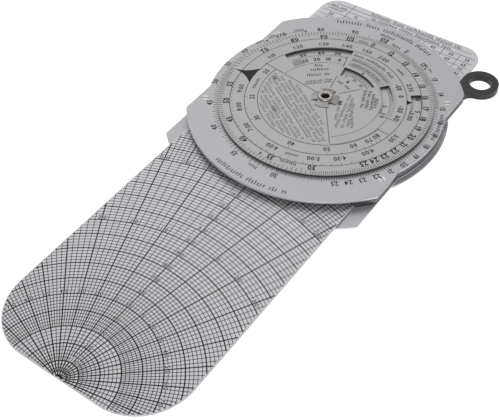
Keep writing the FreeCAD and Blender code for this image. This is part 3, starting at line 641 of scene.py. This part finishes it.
def polar_grid(ink, patches, figures, origin, first, last):
    """Arcs every 2 units and rays, finer further out, each cut at the card's edge. The figures
    lie on bare patches over the lines."""
    def spot(reach, angle):
        x, y = polar(reach, angle)
        return (x, y + origin)

    def sweep_of(reach, tries):
        """The widest angle at which an arc is still on the card."""
        kept = [angle for angle in tries if inside_card(*spot(reach, angle))]
        return (kept[0], kept[-1]) if kept else None

    tries = [0.25 * step for step in range(361)]
    for number in range(first, last + 1, 2):
        reach = number * GRID_UNIT
        span = sweep_of(reach, tries) if number else None
        if not span:
            continue
        width = GRID_HEAVY if number % 10 == 0 else GRID_LIGHT
        if span[0] == 0:
            ink.arc(reach, width, -span[1], span[1], (0, origin), step=1.5)
        else:
            ink.arc(reach, width, span[0], span[1], (0, origin), step=1.5)
            ink.arc(reach, width, -span[1], -span[0], (0, origin), step=1.5)
    stride = 0.25
    for near, far, fine, heavy in RAY_STRETCHES:
        near = max(near, first)
        far = min(far, last)
        if far <= near:
            continue
        for angle in range(-90, 91):
            if angle % fine and angle % heavy:
                continue
            steps = [near * GRID_UNIT + stride * step
                     for step in range(int((far - near) * GRID_UNIT / stride) + 1)]
            kept = [reach for reach in steps if inside_card(*spot(reach, angle))]
            if len(kept) > 2:
                width = GRID_HEAVY if angle % heavy == 0 else GRID_LIGHT
                ink.line(spot(kept[0], angle), spot(kept[-1], angle), width)

    def label(text, reach, angle):
        """Figures on both sides of a ray, each on a bare patch, the last one after the ray."""
        turn = math.radians(angle)
        for part, side in ((text[:-1], -1), (text[-1], 1)):
            aside = side * (PART_ASIDE[0] + PART_ASIDE[1] * len(part))
            middle = Vector(spot(reach, angle + math.degrees(aside / reach)))
            half = PATCH_HALF[0] + PATCH_HALF[1] * len(part)
            over = Vector((math.cos(turn), -math.sin(turn))) * half
            up = Vector((math.sin(turn), math.cos(turn))) * (GRID_FIGURES / 2 + PATCH_SPARE)
            patches.plate([middle - over - up, middle + over - up,
                           middle + over + up, middle - over + up])
            figures.write(part, middle, angle, GRID_FIGURES)

    for number in range(max(first, 10), last, 10):
        label(str(number), number * GRID_UNIT + LABEL_RISE, 0)
    # A label near the card's edge is left out.
    for number, angles in RING_LABELS:
        reach = number * GRID_UNIT + LABEL_RISE
        for angle in angles:
            for turned in (-angle, angle):
                x, y = spot(reach, turned)
                if first < number < last and inside_card(x * 1.03, y - 1.0):
                    label("%02d" % angle, reach, turned)


# The card's table. From its upper edge down: its two head lines, its first body line and the pitch.
# Then its side margin, how much shorter the top line is, and how far figures hang below a line.
TABLE_HEADS = (4.0, 7.2)
TABLE_FIRST = 11.4
TABLE_PITCH = 3.85
TABLE_MARGIN = 2.0
TOP_LINE_INSET = 3.5
TABLE_DROP = 1.95
TABLE_RULES = (-29.3, -12.0, 3.0, 15.0, 25.7, 34.8)
TABLE_COLUMNS = (-36.5, -24.0, -17.0, -8.0, -1.0, 6.0, 11.5, 20.4, 30.4, 39.2)
TABLE_FIGURES = 1.9


def card_table(ink):
    """The ruled table beyond the grid, with rows of small figures."""
    half = CARD_HIGH.x - TABLE_MARGIN
    top = CARD_HIGH.y
    lines = [top - down for down in TABLE_HEADS]
    lines += [top - TABLE_FIRST - TABLE_PITCH * number for number in range(7)]
    for number, along in enumerate(lines):
        reach = half if number else half - TOP_LINE_INSET
        ink.line((-reach, along), (reach, along), TICK)
    for across in TABLE_RULES:
        ink.line((across, lines[1]), (across, lines[-1]), TICK)
    ink.line((TABLE_RULES[0], top - 0.6), (TABLE_RULES[0], lines[1]), TICK)
    for start, finish, along, height, first_word, weight in (
            (-19.0, 34.0, lines[0] + 1.75, 2.3, 0, TITLE_WEIGHT),
            (-17.0, 31.0, lines[1] + 1.6, 1.8, 4, PLAIN_WEIGHT),
            (-40.5, -31.0, lines[1] + 1.2, 1.5, 1, PLAIN_WEIGHT),
            (-41.0, -31.5, lines[1] - 1.6, 1.5, 2, PLAIN_WEIGHT)):
        ink.row((start, along), (finish, along), height, first_word, weight)
    for number, along in enumerate(lines[1:]):
        for place, across in enumerate(TABLE_COLUMNS):
            if number or place:
                value = 10 * (number + 1) + 5 * place
                ink.write(str(value), (across, along - TABLE_DROP), 0, TABLE_FIGURES)


def print_card(black, bare):
    """The grid and the table on both faces. The underside's grid starts further out."""
    for name, level, below, first, last in (("upper", CARD_HIGH.z, False, 0, 275),
                                            ("lower", CARD_LOW.z, True, 80, 350)):
        lines = Ink(level, below)
        patches = Ink(level, below, lift=SECOND_LAYER)
        figures = Ink(level, below, lift=THIRD_LAYER)
        polar_grid(lines, patches, figures, CARD_LOW.y - first * GRID_UNIT, first, last)
        card_table(lines)
        lines.make("print_card_" + name, "card", black)
        patches.make("print_card_%s_patches" % name, "card", bare)
        figures.make("print_card_%s_figures" % name, "card", black)


# The scales of the back, read from the ring's edge: its margin, the gap to the plate's scale, how
# far in and out their figures stand, and the marks at each tenth, each fifth and each other degree.
RING_MARGIN = 0.6
DRIFT_GAP = 0.7
DEGREES_INWARD = 6.4
DRIFT_OUTWARD = 4.6
RING_MARKS = (3.0, 2.2, 1.3)
DRIFT_MARKS = (2.4, 1.8, 1.1)


def degree_mark(degree, lengths):
    """The length of a degree's mark on a scale."""
    if degree % 10 == 0:
        return lengths[0]
    return lengths[2] if degree % 5 else lengths[1]


def print_back(black):
    """The compass scale of the ring and the drift scale of the back plate."""
    ring = reach_of("azimuth_ring")
    ink = Ink(level_of("azimuth_ring", top=False), below=True)
    edge = ring - RING_MARGIN
    for degree in range(360):
        width = HAIR if degree % 10 else FINE
        ink.tick(degree, edge - degree_mark(degree, RING_MARKS), edge, width)
    figures = [(str(degree), degree) for degree in range(0, 360, 10)]
    ink.dial_row(ring - DEGREES_INWARD, 2.7, figures)
    ink.make("print_azimuth", "azimuth", black)
    plate = Ink(level_of("back_plate", top=False), below=True)
    base = ring + DRIFT_GAP
    plate.pointer(base, 0, -4.0, 4.0)
    for degree in range(-40, 41):
        if degree:
            plate.tick(degree, base, base + degree_mark(degree, DRIFT_MARKS), HAIR)
    figures = [(str(abs(degree)), degree) for degree in range(-40, 41, 10) if degree]
    plate.dial_row(ring + DRIFT_OUTWARD, 2.0, figures)
    plate.make("print_back_plate", "frame", black)


def shader_of(name):
    """A new material and its main shader."""
    material = bpy.data.materials.new(name)
    material.use_nodes = True
    return material, material.node_tree, material.node_tree.nodes["Principled BSDF"]


# The grain and the slow drift that vary each finish: their shares, the drift's scale, the part of
# their range that is used, and how far the roughness goes either way.
GRAIN_SHARE = 0.6
DRIFT_SHARE = 0.4
DRIFT_SCALE = 45.0
USED_RANGE = (0.3, 0.7)
ROUGHNESS_SPREAD = 0.05
RELIEF_DEPTH = 0.02 * MM


def noise(tree, vector, scale, detail):
    texture = tree.nodes.new("ShaderNodeTexNoise")
    texture.inputs["Scale"].default_value = scale
    texture.inputs["Detail"].default_value = detail
    tree.links.new(vector, texture.inputs["Vector"])
    return texture.outputs["Fac"]


def mapped(tree, value, source, target):
    """A value carried from one range to another, as an output of the tree."""
    node = tree.nodes.new("ShaderNodeMapRange")
    for name, number in zip(("From Min", "From Max", "To Min", "To Max"), source + target):
        node.inputs[name].default_value = number
    tree.links.new(value, node.inputs["Value"])
    return node.outputs["Result"]


def calculated(tree, operation, value, *others):
    """A sum on a value, with further values or plain numbers, as an output of the tree."""
    node = tree.nodes.new("ShaderNodeMath")
    node.operation = operation
    tree.links.new(value, node.inputs[0])
    for place, other in enumerate(others, 1):
        if isinstance(other, float):
            node.inputs[place].default_value = other
        else:
            tree.links.new(other, node.inputs[place])
    return node.outputs["Value"]


def add_grain(tree, shader, colour, spread, scale, stretch, roughness, bump):
    """Fine grain in the colour, the roughness and the surface, over a slow drift of both."""
    nodes, links = tree.nodes, tree.links
    place = nodes.new("ShaderNodeTexCoord").outputs["Object"]
    shaped = nodes.new("ShaderNodeMapping")
    shaped.inputs["Scale"].default_value = stretch
    links.new(place, shaped.inputs["Vector"])
    grain = noise(tree, shaped.outputs["Vector"], scale, 3.0)
    drift = noise(tree, place, DRIFT_SCALE, 2.0)
    eased = calculated(tree, "MULTIPLY", drift, DRIFT_SHARE)
    blend = calculated(tree, "MULTIPLY_ADD", grain, GRAIN_SHARE, eased)
    ramp = nodes.new("ShaderNodeValToRGB")
    for element, position, change in zip(ramp.color_ramp.elements, USED_RANGE, (-spread, spread)):
        element.position = position
        element.color = [part * (1 + change) for part in colour] + [1]
    links.new(blend, ramp.inputs["Fac"])
    links.new(ramp.outputs["Color"], shader.inputs["Base Color"])
    rough = mapped(tree, blend, USED_RANGE,
                   (roughness - ROUGHNESS_SPREAD, roughness + ROUGHNESS_SPREAD))
    links.new(rough, shader.inputs["Roughness"])
    relief = nodes.new("ShaderNodeBump")
    relief.inputs["Strength"].default_value = bump
    relief.inputs["Distance"].default_value = RELIEF_DEPTH
    links.new(grain, relief.inputs["Height"])
    links.new(relief.outputs["Normal"], shader.inputs["Normal"])


def shade_cut_edges(tree, shader, shade):
    """Paints the edge faces of a sheet darker or brighter than its faces, after the normal: a factor
    under 1 is painted shade, one over 1 a painted highlight.
    """
    parts = tree.nodes.new("ShaderNodeSeparateXYZ")
    place = tree.nodes.new("ShaderNodeTexCoord")
    tree.links.new(place.outputs["Normal"], parts.inputs["Vector"])
    flatness = calculated(tree, "ABSOLUTE", parts.outputs["Z"])
    scaled = tree.nodes.new("ShaderNodeVectorMath")
    scaled.operation = "SCALE"
    grained = shader.inputs["Base Color"].links[0].from_socket
    tree.links.new(grained, scaled.inputs["Vector"])
    tree.links.new(mapped(tree, flatness, (0.3, 0.9), (shade, 1.0)), scaled.inputs["Scale"])
    tree.links.new(scaled.outputs["Vector"], shader.inputs["Base Color"])


def metal(name, colour, roughness, spread=0.04, scale=2600.0, stretch=(1, 1, 1), bump=0.3,
          metallic=1.0, painted_edge_light=None):
    """A bare metal finish, or a coated one where metallic is under 1."""
    material, tree, shader = shader_of(name)
    shader.inputs["Metallic"].default_value = metallic
    add_grain(tree, shader, colour, spread, scale, stretch, roughness, bump)
    # Where given, the edge faces get painted shade or a painted highlight in their colour.
    if painted_edge_light:
        shade_cut_edges(tree, shader, painted_edge_light)
    return material


def plastic(name, colour, roughness, spread=0.1, scale=1800.0, bump=0.5, clear=0.0, shine=0.5):
    """A plastic or ink finish. clear is how much light it lets through."""
    material, tree, shader = shader_of(name)
    shader.inputs["Specular IOR Level"].default_value = shine
    shader.inputs["IOR"].default_value = 1.49
    shader.inputs["Transmission Weight"].default_value = clear
    add_grain(tree, shader, colour, spread, scale, (1, 1, 1), roughness, bump)
    return material


def dress_nodes():
    """Each CAD node gets the finish of its slot."""
    sheet = dict(scale=3200.0, bump=0.25, metallic=0.55)
    brushed = dict(scale=900.0, stretch=(1, 6, 6), bump=0.4)
    finishes = {
        # The plates' cut edges are brightened in colour: a painted highlight along the bevels.
        "plate_aluminium": metal("plate_finish_painted_edge_highlight", (0.47, 0.47, 0.49), 0.42, painted_edge_light=1.6, **sheet),
        # The disc's cut edges are darkened in colour: painted shade on its rim and on the walls of its
        # windows.
        "disc_aluminium": metal("disc_finish_painted_edge_shade", (0.46, 0.45, 0.45), 0.45, painted_edge_light=0.15, **sheet),
        "card_aluminium": metal("card_finish", (0.645, 0.64, 0.665), 0.48, **sheet),
        # The rails' dark colour is painted shade, the shadow under the front plate's edge and in the
        # slot below it.
        "rail_aluminium": metal("rail_painted_shade", (0.15, 0.15, 0.155), 0.38, **brushed),
        "ring_aluminium": metal("ring_finish", (0.47, 0.47, 0.49), 0.42, **sheet),
        "rivet_aluminium": metal("rivet_finish", (0.66, 0.66, 0.67), 0.3),
        "black_plastic": plastic("black_finish", (0.013, 0.013, 0.014), 0.42),
        "screw_steel": metal("screw_finish", (0.50, 0.50, 0.50), 0.32, bump=0.1),
        "nylon": plastic("nylon_finish", (0.72, 0.72, 0.70), 0.5, spread=0.03),
        "spring_steel": metal("spring_steel_finish", (0.32, 0.32, 0.31), 0.4),
        "plated_brass": metal("nickel_finish", (0.50, 0.47, 0.44), 0.35, bump=0.05),
        "spring_bronze": metal("bronze_finish", (0.24, 0.17, 0.09), 0.36),
        "clear_plastic": plastic("window_finish", (0.86, 0.88, 0.88), 0.34, spread=0.02, clear=0.9),
    }
    for row in frame["record"]["subparts"]:
        mesh = NODES[row["node"]].data
        mesh.materials.clear()
        mesh.materials.append(finishes[row["material_slot"]])


def seen_rays(tree, *kinds):
    """1 for camera rays and for rays of the other kinds named, as an output of the tree."""
    path = tree.nodes.new("ShaderNodeLightPath")
    last = path.outputs["Is Camera Ray"]
    for kind in kinds:
        last = calculated(tree, "MAXIMUM", last, path.outputs[kind])
    return last


# The world's strength as a light, and the floor's glow that makes it white to the eye.
AMBIENT = 0.4
FLOOR_GLOW = 0.86


def set_world():
    """A plain grey light that is white where it is seen."""
    world = bpy.data.worlds.new("studio")
    bpy.context.scene.world = world
    world.use_nodes = True
    tree = world.node_tree
    light = tree.nodes["Background"]
    light.inputs["Color"].default_value = (1, 1, 1, 1)
    strength = mapped(tree, seen_rays(tree, "Is Transmission Ray"), (0.0, 1.0), (AMBIENT, 1.0))
    tree.links.new(strength, light.inputs["Strength"])


def set_floor():
    """A white floor that glows for the rays that see it and still takes the shadow."""
    mesh = bpy.data.meshes.new("floor")
    half = 4.0
    below = -0.05 * MM
    corners = [(-half, -half, below), (half, -half, below), (half, half, below), (-half, half, below)]
    mesh.from_pydata(corners, [], [[0, 1, 2, 3]])
    material, tree, shader = shader_of("floor")
    shader.inputs["Base Color"].default_value = (0.75, 0.75, 0.75, 1)
    shader.inputs["Roughness"].default_value = 0.9
    shader.inputs["Specular IOR Level"].default_value = 0.0
    shader.inputs["Emission Color"].default_value = (1, 1, 1, 1)
    seen = seen_rays(tree, "Is Glossy Ray", "Is Transmission Ray")
    glow = calculated(tree, "MULTIPLY", seen, FLOOR_GLOW)
    tree.links.new(glow, shader.inputs["Emission Strength"])
    mesh.materials.append(material)
    floor = bpy.data.objects.new("floor", mesh)
    bpy.context.scene.collection.objects.link(floor)


# What the lamps are turned to.
LAMP_AIM = Vector((0, -0.05, 0))


def add_lamp(name, place, size, power):
    """A square soft lamp that faces the object."""
    lamp = bpy.data.lights.new(name, "AREA")
    lamp.size = size
    lamp.energy = power
    holder = bpy.data.objects.new(name, lamp)
    holder.location = place
    towards = LAMP_AIM - Vector(place)
    holder.rotation_euler = towards.to_track_quat("-Z", "Y").to_euler()
    bpy.context.scene.collection.objects.link(holder)


def set_camera():
    camera = bpy.data.cameras.new("camera")
    camera.sensor_fit = "HORIZONTAL"
    camera.sensor_width = 36.0
    camera.lens = CAMERA_LENS
    camera.clip_start = 0.01
    holder = bpy.data.objects.new("camera", camera)
    holder.location = CAMERA_PLACE
    holder.rotation_euler = [math.radians(turn) for turn in CAMERA_TURN]
    bpy.context.scene.collection.objects.link(holder)
    bpy.context.scene.camera = holder


set_camera()
set_world()
set_floor()
add_lamp("key_lamp", (-0.75, 0.75, 1.3), size=1.5, power=7.5)
add_lamp("front_lamp", (0.5, -0.9, 0.9), size=0.9, power=4.2)
bpy.context.scene.view_settings.view_transform = "Standard"

dress_nodes()
black_ink = plastic("black_ink", (0.008, 0.008, 0.009), 0.5, spread=0.2, scale=1500.0, bump=0.1,
                    shine=0.3)
white_ink = plastic("white_ink", (0.62, 0.62, 0.63), 0.5, spread=0.03, scale=1500.0, bump=0.1)
print_front(black_ink, white_ink)
print_disc(black_ink, white_ink)
print_card(black_ink, NODES["wind_card"].data.materials[0])
print_back(black_ink)
